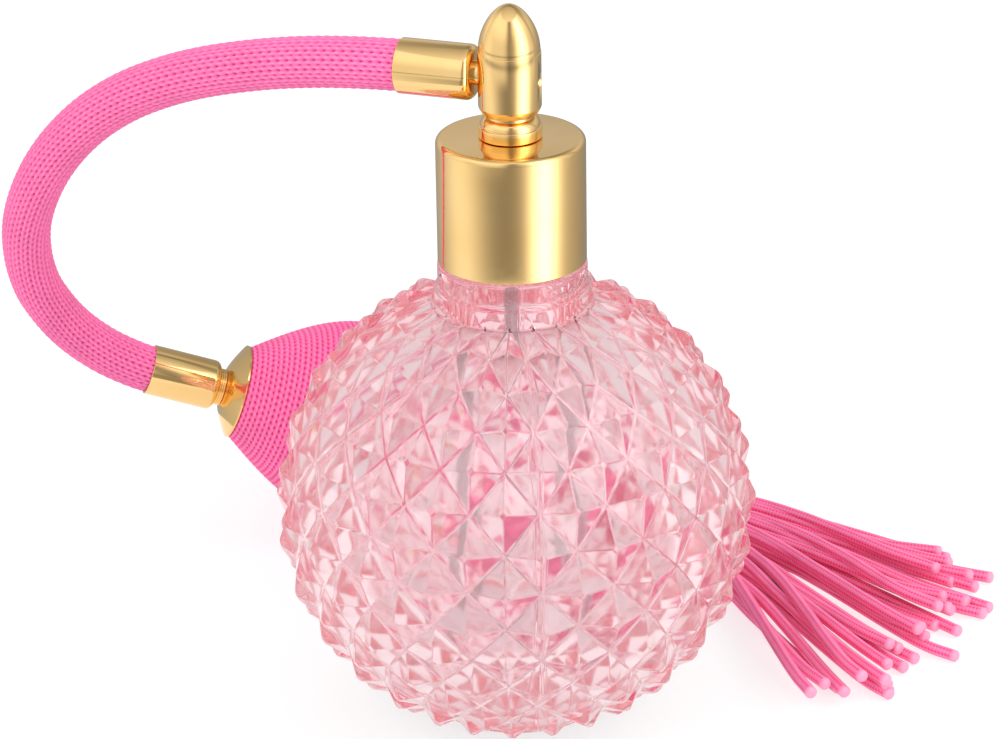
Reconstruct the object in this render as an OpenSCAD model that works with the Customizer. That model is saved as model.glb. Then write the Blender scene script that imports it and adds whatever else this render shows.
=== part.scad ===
// Squeeze-bulb perfume atomizer: a studded glass ball with a metal spray head, a
// knitted hose, a knitted squeeze bulb and a tassel, taken apart into its pieces.
// The origin is the centre of the flat base, +Z is up, and lengths are in millimetres.

/* [Glass bottle] */
// Diameter of the ball over the tips of its studs
ball_d = 76; // [75:0.5:76.5]
// Height of the ball's centre above the base
ball_z = 34.5; // [34:0.1:35]
// Height of a stud above the valleys round it
stud_h = 2.1; // [1.2:0.1:2.4]
// Studs in one ring round the ball
stud_columns = 20; // [16:2:24]
// Radius of the hollow inside the ball
cavity_r = 32; // [30:0.5:32]
// Radius of the bore through the neck
neck_bore_r = 7; // [6.9:0.05:7.1]

/* [Collar] */
// Outer radius of the collar
collar_r = 11.5; // [11.4:0.05:12]
// Height of the collar's lower edge above the base
collar_z = 75.5; // [75.4:0.1:75.8]
// Height of the collar
collar_h = 19.8; // [19.7:0.1:20]
// Rise of the neck thread in one turn
thread_pitch = 3; // [2.8:0.1:3.2]

/* [Spray head] */
// Outer radius of the barrel
barrel_r = 4.85; // [4.7:0.05:4.9]
// Length of the barrel
barrel_h = 9.8; // [9.6:0.1:10]
// Height of the pointed finial over the barrel
finial_h = 7.4; // [6:0.1:9]
// Angle by which the hose leaves the head to the back
inlet_turn = 19; // [19:1:19]

/* [Hose] */
// Outer radius of the knitted sleeve
sleeve_r = 4.05; // [3.95:0.05:4.2]
// Outer radius of the ferrules at its two ends
ferrule_r = 4.3; // [4.25:0.05:4.4]
// Length of a ferrule
ferrule_h = 12; // [11.8:0.1:12.2]

/* [Squeeze bulb] */
// Length of the bulb from its cap to its tail
bulb_h = 50; // [49:0.5:51]
// Largest radius of the bulb
bulb_r = 17.3; // [17:0.1:17.4]
// Radius of the bulb where it meets the cap
bulb_front_r = 7.8; // [7.6:0.1:7.9]
// Radius of the bulb where it meets the tassel
bulb_tail_r = 4.5; // [4.4:0.1:4.8]
// Radius of the cap's rim
cap_r = 8.1; // [8:0.1:8.4]

/* [Hidden] */
$fn = 64;

// Glass ball: the studs stand on a sphere through the valley crossings
valley_r = ball_d / 2 - stud_h;
stud_rows = 14;
stud_top_lat = 70;
stud_row_step = 9.8;
stud_column_step = 360 / stud_columns;
// Longitude of the mould seam, from the front towards +X
seam_lon = 6;
foot_r = 14.2;
foot_h = 2.4;
neck_ring_r = 11.6;
neck_ring_top = collar_z - 0.3;
neck_top = 90.5;
finish_r = 8.4;
rim_round = 0.5;

// Screw thread: the same ridge outside the neck and inside the liner, half a pitch apart
thread_steps = 24;
neck_thread_z = 79;
neck_thread_turns = 2.25;
neck_thread_crest = 9.5;
liner_thread_turns = 1.75;
liner_thread_crest = 8.7;
liner_bore_r = 9.7;
thread_root_w = 1.4;
thread_crest_w = 0.7;
thread_sink = 0.2;

// Stack of pieces over the neck
gap = 0.1;
gasket_h = 1.2;
gasket_r = 8.2;
plug_clearance = 0.2;
plug_r = neck_bore_r - plug_clearance;
plug_z = 84;
flange_z = neck_top + gasket_h;
flange_h = 1.5;
flange_top = flange_z + flange_h;
liner_roof_z = flange_top + gap;
liner_roof_h = 1.2;
shell_wall = 0.6;
shell_r = collar_r - shell_wall;
shell_hole_r = 3.25;
collar_top = collar_z + collar_h;
pedestal_z = collar_top + gap;

// Dip tube and the passages that carry on from it
tube_r = 1.4;
tube_bore_r = 0.9;
tube_bottom = 4.5;
tube_top = 90;
spigot_r = 2.6;
guide_r = 3.2;
swivel_r = 2.2;
swivel_top = 102.6;
jet_r = 0.7;
jet_bore_r = 0.35;
jet_bottom = 97;
jet_top = 104.5;

// Spray head
pedestal_r = 4.9;
barrel_z = pedestal_z + 3.8;
barrel_top = barrel_z + barrel_h;
barrel_bore_r = 2.25;
barrel_edge = 0.6;
barrel_edge_h = 1.1;
chamber_r = 1.3;
chamber_top = 106.2;
finial_socket_r = 2.5;
finial_socket_z = 107.4;
inlet_z = 105;
nozzle_z = 104.3;
inlet_r = 1.9;
air_r = 1;
nozzle_r = 0.8;
feed_r = 0.5;
spray_r = 0.25;

// Hose and ferrules
ferrule_wall = 0.35;
ferrule_bore_r = ferrule_r - ferrule_wall;
ferrule_start = 5.4;
ferrule_end = 4;
held_sleeve_r = 3.85;
core_r = 2.9;
core_bore_r = 2;
barb_r = 1.9;
hose_sides = 12;
// Middle of the hose from inside the head's ferrule to inside the bulb's ferrule
HOSE_ROUTE = [[-8.5, 2.9, 105], [-16.5, 5.7, 105], [-25, 8.6, 104.6], [-32.5, 11.5, 103.7],
    [-40, 14.6, 102.2], [-47.8, 18, 100], [-54.6, 21.3, 97.2], [-61, 24.8, 93.5], [-67.1, 28.4, 88.5],
    [-72.5, 32.2, 82.1], [-76.6, 36, 74.9], [-79.3, 40.5, 67], [-80.1, 45, 59.4], [-79.5, 49.2, 52.5],
    [-77.9, 53, 47], [-75.5, 56.2, 42], [-72.3, 58.8, 37.7], [-68.2, 60.8, 34], [-62.5, 61.9, 30.9],
    [-55.2, 63, 28.3]];

// Bulb: its own axis starts at the middle of the cap's rim
bulb_pos = [-47.7, 64, 25.6];
bulb_turn = 8;
bulb_droop = 19.5;
bulb_widest = 21;
cover_wall = 1.2;
bladder_gap = 0.1;
bladder_wall = 1.5;
housing_r = 3.9;
housing_z = 1.6;
housing_top = 8;
outlet_seat_z = 6;
shank_r = 2.5;
cap_depth = 2.8;
cap_neck_r = 3.3;
cap_wall = 0.5;
profile_steps = 14;

// Tail
intake_r = 3;
intake_z = 42;
intake_top = bulb_h + 0.8;
cage_h = 2;
intake_seat_z = 46.4;
binding_z = bulb_h + 1;
binding_h = 6;
binding_r = 4.5;
bundle_r = 3.1;
// Two ends of the tassel's narrow part and the corners of its fan, on the table
TASSEL_WAIST = [[33, 57], [30, 38]];
TASSEL_FAN = [[73, 45], [80, 32], [70, 3], [53, -11]];
tassel_lift = 0.1;
tassel_h = 3.6;

GLASS = [0.98, 0.8, 0.8, 0.5];
GOLD = [0.93, 0.78, 0.42];
PINK = [0.98, 0.42, 0.66];
DEEP_PINK = [0.97, 0.3, 0.55];
RUBBER = [0.2, 0.17, 0.17];
WHITE_PLASTIC = [0.93, 0.93, 0.92];

// ---- Placing helpers ----

// Local +Z runs from the head's axis out along the hose ferrule
module along_inlet(height) {
    translate([0, 0, height]) rotate([0, -90, -inlet_turn]) children();
}

// Local +Z runs from the head's axis out through the nozzle
module along_nozzle(height) {
    translate([0, 0, height]) rotate([0, 90, -inlet_turn]) children();
}

// Local +Z runs from the cap's rim to the bulb's tail
module along_bulb() {
    translate(bulb_pos) rotate([0, 90 + bulb_droop, bulb_turn]) children();
}

// A straight tube with a round bore
module tube(outer_r, inner_r, z0, z1) {
    difference() {
        translate([0, 0, z0]) cylinder(r = outer_r, h = z1 - z0);
        translate([0, 0, z0 - 1]) cylinder(r = inner_r, h = z1 - z0 + 2);
    }
}

function on_arc(centre, r, a0, a1, n) = [for (i = [0 : n])
    let (a = a0 + (a1 - a0) * i / n) [centre[0] + r * cos(a), centre[1] + r * sin(a)]];

// ---- Studded ball ----

function ball_point(r, lat, lon) =
    [r * cos(lat) * sin(lon), -r * cos(lat) * cos(lon), ball_z + r * sin(lat)];
function row_lat(k) = stud_top_lat - stud_row_step * k;
function valley_lon(k, j) = seam_lon + (j + (k % 2 - 1) / 2) * stud_column_step;
function valley_id(k, j) = k * stud_columns + j % stud_columns;
function tip_id(k, j) = (stud_rows + k) * stud_columns + j;

module stud_ball() {
    valleys = [for (k = [0 : stud_rows], j = [0 : stud_columns - 1])
        ball_point(valley_r, row_lat(k), valley_lon(k, j))];
    tips = [for (k = [1 : stud_rows - 1], j = [0 : stud_columns - 1])
        ball_point(ball_d / 2, row_lat(k), valley_lon(k, j + 0.5))];
    pyramids = [for (k = [1 : stud_rows - 1], j = [0 : stud_columns - 1])
        let (tip = tip_id(k, j), left = valley_id(k, j), right = valley_id(k, j + 1),
            up = valley_id(k - 1, j + k % 2), down = valley_id(k + 1, j + k % 2))
        each [[tip, left, up], [tip, up, right], [tip, right, down], [tip, down, left]]];
    top_edge = [for (j = [0 : stud_columns - 1]) [valley_id(0, j), valley_id(0, j + 1), valley_id(1, j)]];
    last = stud_rows;
    bottom_edge = [for (j = [0 : stud_columns - 1])
        [valley_id(last, j + 1), valley_id(last, j), valley_id(last - 1, j + last % 2)]];
    top_cap = [[for (j = [stud_columns - 1 : -1 : 0]) valley_id(0, j)]];
    bottom_cap = [[for (j = [0 : stud_columns - 1]) valley_id(last, j)]];
    polyhedron(points = concat(valleys, tips),
        faces = concat(pyramids, top_edge, bottom_edge, top_cap, bottom_cap), convexity = 4);
}

// ---- Screw thread ----

// One helical ridge from radius root to radius crest, which may be the smaller one
module thread_ridge(root, crest, z0, turns) {
    steps = round(turns * thread_steps);
    section = [[root, -thread_root_w / 2], [crest, -thread_crest_w / 2],
        [crest, thread_crest_w / 2], [root, thread_root_w / 2]];
    outward = crest > root;
    points = [for (i = [0 : steps], p = section)
        let (a = 360 * i / thread_steps)
        [p[0] * cos(a), p[0] * sin(a), z0 + p[1] + thread_pitch * i / thread_steps]];
    sides = [for (i = [0 : steps - 1], j = [0 : 3])
        let (a = 4 * i + j, b = 4 * i + (j + 1) % 4)
        outward ? [a, b, b + 4, a + 4] : [a, a + 4, b + 4, b]];
    start = outward ? [3, 2, 1, 0] : [0, 1, 2, 3];
    end = [for (j = outward ? [0, 1, 2, 3] : [3, 2, 1, 0]) 4 * steps + j];
    polyhedron(points = points, faces = concat(sides, [start, end]), convexity = 6);
}

// ---- Bottle ----

module neck_outline() {
    cove_r = 1.6;
    cove = on_arc([neck_ring_r + cove_r, neck_ring_top - 3], cove_r, 230, 180, 6);
    rotate_extrude() polygon(concat([[0, 60], [12.9, 60], [12.9, 66.8]], cove,
        [[neck_ring_r, neck_ring_top - rim_round], [neck_ring_r - rim_round, neck_ring_top],
        [finish_r, neck_ring_top], [finish_r, neck_top - rim_round], [finish_r - rim_round, neck_top],
        [0, neck_top]]));
}

module glass_bottle() {
    color(GLASS) difference() {
        union() {
            stud_ball();
            neck_outline();
            thread_ridge(finish_r - thread_sink, neck_thread_crest, neck_thread_z, neck_thread_turns);
            rotate_extrude() polygon([[0, 0], [foot_r - rim_round, 0], [foot_r, rim_round], [foot_r, foot_h],
                [0, foot_h]]);
        }
        translate([0, 0, ball_z]) sphere(r = cavity_r);
        translate([0, 0, ball_z + cavity_r - 4]) cylinder(r = neck_bore_r, h = neck_top - ball_z);
    }
}

// ---- Stem: what stays in the neck while the collar turns round it ----

module neck_gasket() {
    color(RUBBER) tube(gasket_r, plug_r + gap / 2, neck_top, flange_z);
}

module stem_plug() {
    color(WHITE_PLASTIC) difference() {
        union() {
            translate([0, 0, plug_z]) cylinder(r = plug_r, h = flange_z - plug_z);
            translate([0, 0, flange_z]) cylinder(r = gasket_r, h = flange_h);
        }
        translate([0, 0, plug_z - 1]) cylinder(r = tube_r, h = flange_top);
        translate([0, 0, tube_top]) cylinder(r = spigot_r, h = flange_top);
    }
}

module dip_tube() {
    color(WHITE_PLASTIC) tube(tube_r, tube_bore_r, tube_bottom, tube_top);
}

// Lower spigot, guide through the collar, ringed foot, groove and the swivel spigot
module head_pedestal() {
    drum_top = pedestal_z + 1.8;
    shoulder = on_arc([pedestal_r - 1.75, drum_top], 1.5, 0, 60, 6);
    color(GOLD) difference() {
        rotate_extrude() polygon(concat([[0, tube_top], [spigot_r, tube_top], [spigot_r, flange_top],
            [guide_r, flange_top], [guide_r, pedestal_z], [pedestal_r - 0.2, pedestal_z],
            [pedestal_r, pedestal_z + 0.2], [pedestal_r, drum_top - 0.2], [pedestal_r - 0.2, drum_top]],
            shoulder, [[3.6, drum_top + 1.4], [3.6, barrel_z - gap], [swivel_r, barrel_z - gap],
            [swivel_r, swivel_top], [0, swivel_top]]));
        translate([0, 0, tube_top - 1]) cylinder(r = tube_bore_r, h = jet_bottom - tube_top + 1);
        translate([0, 0, jet_bottom - 1]) cylinder(r = jet_r, h = swivel_top);
        difference() {
            translate([0, 0, swivel_top - 1.6]) cylinder(r = swivel_r + 1, h = 0.8);
            translate([0, 0, swivel_top - 2]) cylinder(r = 1.6, h = 2);
        }
    }
}

module jet_tube() {
    color(WHITE_PLASTIC) tube(jet_r, jet_bore_r, jet_bottom, jet_top);
}

module swivel_seal() {
    color(RUBBER) tube(swivel_r + 0.02, 1.6, swivel_top - 1.5, swivel_top - 0.9);
}

// ---- Collar ----

module collar_shell() {
    top_round = 0.9;
    corner = on_arc([collar_r - top_round, collar_top - top_round], top_round, 0, 90, 6);
    color(GOLD) difference() {
        rotate_extrude() polygon(concat([[0, collar_z], [collar_r - 0.15, collar_z],
            [collar_r, collar_z + 0.15]], corner, [[0, collar_top]]));
        translate([0, 0, collar_z - 1]) cylinder(r = shell_r, h = collar_h + 1 - shell_wall);
        translate([0, 0, collar_top - 3]) cylinder(r = shell_hole_r, h = 4);
    }
}

module collar_liner() {
    roof_top = liner_roof_z + liner_roof_h;
    color(WHITE_PLASTIC) {
        difference() {
            translate([0, 0, collar_z + 0.4]) cylinder(r = shell_r, h = roof_top - collar_z - 0.4);
            translate([0, 0, collar_z - 1]) cylinder(r = liner_bore_r, h = liner_roof_z - collar_z + 1);
            translate([0, 0, liner_roof_z - 1]) cylinder(r = shell_hole_r, h = 4);
        }
        thread_ridge(liner_bore_r + thread_sink, liner_thread_crest, neck_thread_z + thread_pitch / 2,
            liner_thread_turns);
    }
}

// ---- Spray head ----

module head_barrel() {
    color(GOLD) difference() {
        rotate_extrude() polygon([[0, barrel_z], [barrel_r - barrel_edge, barrel_z],
            [barrel_r, barrel_z + barrel_edge_h], [barrel_r, barrel_top - 0.1], [barrel_r - 0.1, barrel_top],
            [0, barrel_top]]);
        translate([0, 0, barrel_z - 1]) cylinder(r = barrel_bore_r, h = swivel_top + 0.2 - barrel_z + 1);
        translate([0, 0, barrel_z]) cylinder(r = chamber_r, h = chamber_top - barrel_z);
        translate([0, 0, finial_socket_z]) cylinder(r = finial_socket_r, h = barrel_top);
        along_inlet(inlet_z) translate([0, 0, inlet_r + 0.7]) cylinder(r = inlet_r, h = barrel_r);
        along_inlet(inlet_z) cylinder(r = air_r, h = barrel_r);
        along_nozzle(nozzle_z) translate([0, 0, 2.2]) cylinder(r = nozzle_r, h = barrel_r);
        along_nozzle(nozzle_z) cylinder(r = feed_r, h = barrel_r);
    }
}

// Blunt-nosed point: its radius follows a softened quarter sine from the tip down
module head_finial() {
    base_r = barrel_r - 0.1;
    nose = [for (i = [1 : profile_steps]) let (u = pow(i / profile_steps, 1.7))
        [base_r * pow(sin(90 * u), 0.52), barrel_top + finial_h * (1 - u)]];
    color(GOLD) rotate_extrude() polygon(concat([[0, barrel_top + finial_h]], nose,
        [[finial_socket_r, barrel_top], [finial_socket_r, finial_socket_z], [0, finial_socket_z]]));
}

module nozzle_insert() {
    color(GOLD) along_nozzle(nozzle_z) difference() {
        translate([0, 0, 2.2]) cylinder(r = nozzle_r, h = barrel_r - 2.5);
        translate([0, 0, 2]) cylinder(r = feed_r, h = 1.6);
        cylinder(r = spray_r, h = barrel_r + 1);
    }
}

module inlet_barb() {
    color(GOLD) along_inlet(inlet_z) difference() {
        rotate_extrude() polygon([[0, 2.6], [inlet_r, 2.6], [inlet_r, ferrule_start + 0.6],
            [2.6, ferrule_start + 0.6], [2.6, ferrule_start + 1.2], [barb_r, ferrule_start + 2.4],
            [barb_r, 11], [1.6, 11], [barb_r, 11.4], [barb_r, 13.4], [1.5, 14.4], [0, 14.4]]);
        cylinder(r = air_r, h = 20);
    }
}

// A turned ferrule from z = 0 at its closed, rounded end to its open mouth
module ferrule() {
    shoulder = on_arc([ferrule_r - 1.2, 1.2], 1.2, -90, 0, 6);
    color(GOLD) difference() {
        rotate_extrude() polygon(concat([[0, 0]], shoulder,
            [[ferrule_r, ferrule_h - 0.1], [ferrule_r - 0.1, ferrule_h], [0, ferrule_h]]));
        translate([0, 0, 0.6]) cylinder(r = ferrule_bore_r, h = ferrule_h);
        translate([0, 0, -1]) cylinder(r = inlet_r, h = 3);
    }
}

module hose_ferrule_head() {
    along_inlet(inlet_z) translate([0, 0, ferrule_start]) ferrule();
}

// ---- Hose ----

function unit(v) = v / norm(v);
function route_dir(route, i) = unit(route[min(i + 1, len(route) - 1)] - route[max(i - 1, 0)]);

// The rings of a sweep: each holds the points of the outer wall, then of the bore
function hose_ring(route, i, outer_r, inner_r) =
    let (t = route_dir(route, i), side = unit(cross(t, [0, 1, 0])), across = cross(side, t))
    [for (r = [outer_r, inner_r], j = [0 : hose_sides - 1])
        route[i] + r * (cos(360 * j / hose_sides) * side + sin(360 * j / hose_sides) * across)];

module hose_sweep(route, outer_radii, inner_r) {
    m = hose_sides;
    last = len(route) - 1;
    points = [for (i = [0 : last]) each hose_ring(route, i, outer_radii[i], inner_r)];
    outer = [for (i = [0 : last - 1], j = [0 : m - 1])
        let (a = 2 * m * i + j, b = 2 * m * i + (j + 1) % m) [a, a + 2 * m, b + 2 * m, b]];
    inner = [for (i = [0 : last - 1], j = [0 : m - 1])
        let (a = 2 * m * i + m + j, b = 2 * m * i + m + (j + 1) % m) [a, b, b + 2 * m, a + 2 * m]];
    start = [for (j = [0 : m - 1]) [j, (j + 1) % m, m + (j + 1) % m, m + j]];
    end = [for (j = [0 : m - 1]) let (e = 2 * m * last)
        [e + j, e + m + j, e + m + (j + 1) % m, e + (j + 1) % m]];
    polyhedron(points = points, faces = concat(outer, inner, start, end), convexity = 6);
}

module hose_core() {
    color(RUBBER) hose_sweep(HOSE_ROUTE, [for (p = HOSE_ROUTE) core_r], core_bore_r);
}

module hose_sleeve() {
    last = len(HOSE_ROUTE) - 1;
    radii = [for (i = [0 : last]) i < 2 || i > last - 2 ? held_sleeve_r : sleeve_r];
    color(PINK) hose_sweep(HOSE_ROUTE, radii, core_r + 0.05);
}

module hose_ferrule_bulb() {
    along_bulb() translate([0, 0, -ferrule_end]) mirror([0, 0, 1]) ferrule();
}

// ---- Bulb ----

// Radius of the knitted cover's outside at z from the cap
function bulb_radius(z) = z < bulb_widest
    ? bulb_front_r + (bulb_r - bulb_front_r) * sin(90 * z / bulb_widest)
    : bulb_tail_r + (bulb_r - bulb_tail_r) * cos(90 * (z - bulb_widest) / (bulb_h - bulb_widest));
function bulb_side(z0, z1, inset) = [for (i = [0 : profile_steps])
    let (z = z0 + (z1 - z0) * i / profile_steps) [bulb_radius(z) - inset, z]];
function backwards(list) = [for (i = [len(list) - 1 : -1 : 0]) list[i]];

// Hose barb, ringed neck, shank through the cap and the outlet valve's housing
module bulb_barb() {
    ring_r = 3.2;
    ring_round = 0.18;
    ring_step = 0.38;
    rings = [for (i = [0.5 : 2.5])
        each on_arc([ring_r - ring_round, -ferrule_end + ring_step * i], ring_round, -80, 80, 4)];
    color(GOLD) along_bulb() difference() {
        rotate_extrude() polygon(concat([[0, -13], [1.5, -13], [barb_r, -12],
            [barb_r, -ferrule_end]], rings,
            [[shank_r, -cap_depth], [shank_r, housing_z], [housing_r, housing_z],
            [housing_r, housing_top], [0, housing_top]]));
        translate([0, 0, -14]) cylinder(r = 0.9, h = 20);
        translate([0, 0, 3.5]) cylinder(r = 2.6, h = outlet_seat_z - 3.5);
        translate([0, 0, outlet_seat_z]) cylinder(r = 3, h = 3);
    }
}

module outlet_valve_seat() {
    color(WHITE_PLASTIC) along_bulb() tube(3, 1.2, outlet_seat_z, housing_top);
}

module outlet_valve_disc() {
    color(RUBBER) along_bulb() translate([0, 0, outlet_seat_z - 0.7]) cylinder(r = 2.2, h = 0.65);
}

module bulb_cap() {
    dome = [for (i = [0 : 8]) let (u = i / 8)
        [cap_neck_r + (cap_r - cap_neck_r) * u, -cap_depth + (cap_depth - 0.35) * pow(u, 1.25)]];
    under = [for (p = backwards(dome)) [max(p[0] - cap_wall, shank_r), min(p[1] + cap_wall, 0)]];
    color(GOLD) along_bulb() rotate_extrude() polygon(concat([[shank_r, -cap_depth]], dome, [[cap_r, 0]],
        under, [[shank_r, -cap_depth + cap_wall]]));
}

module bulb_bladder() {
    inset = cover_wall + bladder_gap;
    front = 0.3;
    tail = 47;
    color(RUBBER) along_bulb() rotate_extrude() polygon(concat([[shank_r, front]],
        bulb_side(front, tail, inset), [[intake_r + 0.35, tail], [intake_r + 0.35, tail - bladder_wall]],
        backwards(bulb_side(front + bladder_wall - 0.2, tail - bladder_wall, inset + bladder_wall)),
        [[shank_r, front + bladder_wall - 0.2]]));
}

module bulb_cover() {
    front = 0.1;
    color(DEEP_PINK) along_bulb() rotate_extrude() polygon(concat(
        bulb_side(front, bulb_h, 0), backwards(bulb_side(front, bulb_h, cover_wall))));
}

// ---- Tail ----

module intake_valve_body() {
    color(WHITE_PLASTIC) along_bulb() difference() {
        translate([0, 0, intake_z]) cylinder(r = intake_r, h = intake_top - intake_z);
        translate([0, 0, intake_z - 1]) cylinder(r = 2.2, h = intake_seat_z - intake_z + 1);
        translate([0, 0, intake_z]) cylinder(r = 1, h = 20);
    }
}

module intake_valve_cage() {
    color(WHITE_PLASTIC) along_bulb() tube(2.2, 1.2, intake_z, intake_z + cage_h);
}

module intake_valve_disc() {
    color(RUBBER) along_bulb() translate([0, 0, intake_seat_z - 0.7]) cylinder(r = 1.9, h = 0.65);
}

// Thread wound round the gathered cords, seen as five rounded turns
module tassel_binding() {
    turns = 5;
    turn_h = binding_h / turns;
    wraps = [for (i = [0 : turns - 1])
        each on_arc([binding_r - turn_h / 2, binding_z + (i + 0.5) * turn_h], turn_h / 2, -70, 70, 4)];
    color(DEEP_PINK) along_bulb() rotate_extrude() polygon(concat([[bundle_r, binding_z]], wraps,
        [[bundle_r, binding_z + binding_h]]));
}

// A low disc of the tassel, standing on the table
module tassel_corner(p, h) {
    translate([p[0], p[1], tassel_lift]) cylinder(r = 2, h = h, $fn = 16);
}

module tassel_cords() {
    color(PINK) {
        along_bulb() translate([0, 0, intake_top]) cylinder(r = bundle_r - 0.05, h = binding_h + 1);
        hull() {
            along_bulb() translate([0, 0, binding_z + binding_h + 0.1]) cylinder(r = 3.8, h = 1.5, $fn = 24);
            for (p = TASSEL_WAIST) tassel_corner(p, 5);
        }
        hull() {
            for (p = TASSEL_WAIST) tassel_corner(p, 5);
            for (p = TASSEL_FAN) tassel_corner(p, tassel_h);
        }
    }
}

glass_bottle();
neck_gasket();
stem_plug();
dip_tube();
head_pedestal();
jet_tube();
swivel_seal();
collar_shell();
collar_liner();
head_barrel();
head_finial();
nozzle_insert();
inlet_barb();
hose_ferrule_head();
hose_core();
hose_sleeve();
hose_ferrule_bulb();
bulb_barb();
outlet_valve_seat();
bulb_cap();
bulb_bladder();
bulb_cover();
outlet_valve_disc();
intake_valve_body();
intake_valve_cage();
tassel_binding();
tassel_cords();
intake_valve_disc();
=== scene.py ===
"""Squeeze-bulb perfume atomizer: the visible pieces, their materials, the light and the camera.

Shapes are built in millimetres in the frame of the CAD model and scaled to metres.
"""
import math
import random

import bmesh
import bpy
import numpy as np
from mathutils import Matrix, Vector


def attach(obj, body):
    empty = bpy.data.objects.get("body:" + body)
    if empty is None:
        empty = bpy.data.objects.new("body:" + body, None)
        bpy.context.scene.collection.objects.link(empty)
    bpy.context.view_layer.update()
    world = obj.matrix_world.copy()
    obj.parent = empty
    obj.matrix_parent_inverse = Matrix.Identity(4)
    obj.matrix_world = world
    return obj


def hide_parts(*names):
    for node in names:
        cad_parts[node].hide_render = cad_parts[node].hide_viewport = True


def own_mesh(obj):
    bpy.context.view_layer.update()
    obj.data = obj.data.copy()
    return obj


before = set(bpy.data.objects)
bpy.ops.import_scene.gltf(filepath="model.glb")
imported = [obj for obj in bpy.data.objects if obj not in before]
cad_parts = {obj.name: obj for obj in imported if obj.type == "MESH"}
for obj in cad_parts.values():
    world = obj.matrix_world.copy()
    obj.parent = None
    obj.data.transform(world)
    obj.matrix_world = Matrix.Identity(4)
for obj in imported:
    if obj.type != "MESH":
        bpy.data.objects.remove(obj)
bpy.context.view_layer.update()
MM = 0.001

# ---- Sizes shared with the CAD model, in millimetres ----

BALL_Z = 34.5
TIP_R = 38.0
VALLEY_R = 35.9
CAVITY_R = 32.0
NECK_BORE_R = 7.0
STUD_COLUMNS = 20
STUD_ROWS = 14
STUD_TOP_LAT = 70.0
STUD_ROW_STEP = 9.8
SEAM_LON = 6.0
NECK_TOP = 90.5
THREAD_PITCH = 3.0
COLLAR_R = 11.5
COLLAR_Z = 75.5
COLLAR_TOP = 95.3
BARREL_R = 4.85
BARREL_Z = 99.2
BARREL_TOP = 109.0
FINIAL_H = 7.4
INLET_TURN = 19.0
INLET_Z = 105.0
NOZZLE_Z = 104.3
FERRULE_R = 4.3
FERRULE_H = 12.0
FERRULE_START = 5.4
FERRULE_END = 4.0
SLEEVE_R = 4.05
HELD_SLEEVE_R = 3.85
BULB_POS = (-47.7, 64.0, 25.6)
BULB_TURN = 8.0
BULB_DROOP = 19.5
BULB_H = 50.0
BULB_R = 17.3
BULB_FRONT_R = 7.8
BULB_TAIL_R = 4.5
BULB_WIDEST = 21.0
CAP_R = 8.1
CAP_DEPTH = 2.8

# Middle of the hose from inside the head's ferrule to inside the bulb's ferrule
HOSE_ROUTE = [
    (-0.0085, 0.0029, 0.105), (-0.0165, 0.0057, 0.105), (-0.025, 0.0086, 0.1046),
    (-0.0325, 0.0115, 0.1037), (-0.04, 0.0146, 0.1022), (-0.0478, 0.018, 0.1),
    (-0.0546, 0.0213, 0.0972), (-0.061, 0.0248, 0.0935), (-0.0671, 0.0284, 0.0885),
    (-0.0725, 0.0322, 0.0821), (-0.0766, 0.036, 0.0749), (-0.0793, 0.0405, 0.067),
    (-0.0801, 0.045, 0.0594), (-0.0795, 0.0492, 0.0525), (-0.0779, 0.053, 0.047),
    (-0.0755, 0.0562, 0.042), (-0.0723, 0.0588, 0.0377), (-0.0682, 0.0608, 0.034),
    (-0.0625, 0.0619, 0.0309), (-0.0552, 0.063, 0.0283),
]

# ---- Mesh helpers ----


def along(point_mm, droop, turn):
    """Matrix of a local frame whose +Z points along the given direction: droop below the horizon, turn
    from +X towards +Y, both in degrees."""
    lowered = Matrix.Rotation(math.radians(90 + droop), 4, "Y")
    turned = Matrix.Rotation(math.radians(turn), 4, "Z") @ lowered
    return Matrix.Translation(Vector(point_mm)) @ turned


INLET = along((0, 0, INLET_Z), 0, 180 - INLET_TURN)
NOZZLE = along((0, 0, NOZZLE_Z), 0, -INLET_TURN)
BULB = along(BULB_POS, BULB_DROOP, BULB_TURN)
UPRIGHT = Matrix.Identity(4)


def new_object(name, verts_mm, faces, matrix=UPRIGHT, smooth=True, sharp_deg=None):
    """A mesh object at the origin, from points in millimetres in the local frame of matrix."""
    verts = np.asarray(verts_mm, float) @ np.array(matrix.to_3x3()).T + np.array(matrix.translation)
    mesh = bpy.data.meshes.new(name)
    mesh.from_pydata((verts * MM).tolist(), [], faces if isinstance(faces, list) else faces.tolist())
    mesh.validate()
    if smooth:
        mesh.shade_smooth()
    if sharp_deg is not None:
        mesh.set_sharp_from_angle(angle=math.radians(sharp_deg))
    ob = bpy.data.objects.new(name, mesh)
    bpy.context.scene.collection.objects.link(ob)
    return ob


def grid_faces(rows, columns, closed=True):
    """Quads of a grid of rows x columns points, row by row, closed round its columns or open."""
    across = np.arange(columns if closed else columns - 1)
    r, c = np.meshgrid(np.arange(rows - 1), across, indexing="ij")
    r, c = r.ravel(), c.ravel()
    right = (c + 1) % columns
    low, high = r * columns, (r + 1) * columns
    return np.stack([low + c, low + right, high + right, high + c], 1)


def arc(centre, r, a0, a1, n=6):
    """Points of an arc about centre (r, z), in degrees."""
    angles = np.radians(np.linspace(a0, a1, n + 1))
    return [(centre[0] + r * math.cos(a), centre[1] + r * math.sin(a)) for a in angles]


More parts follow.
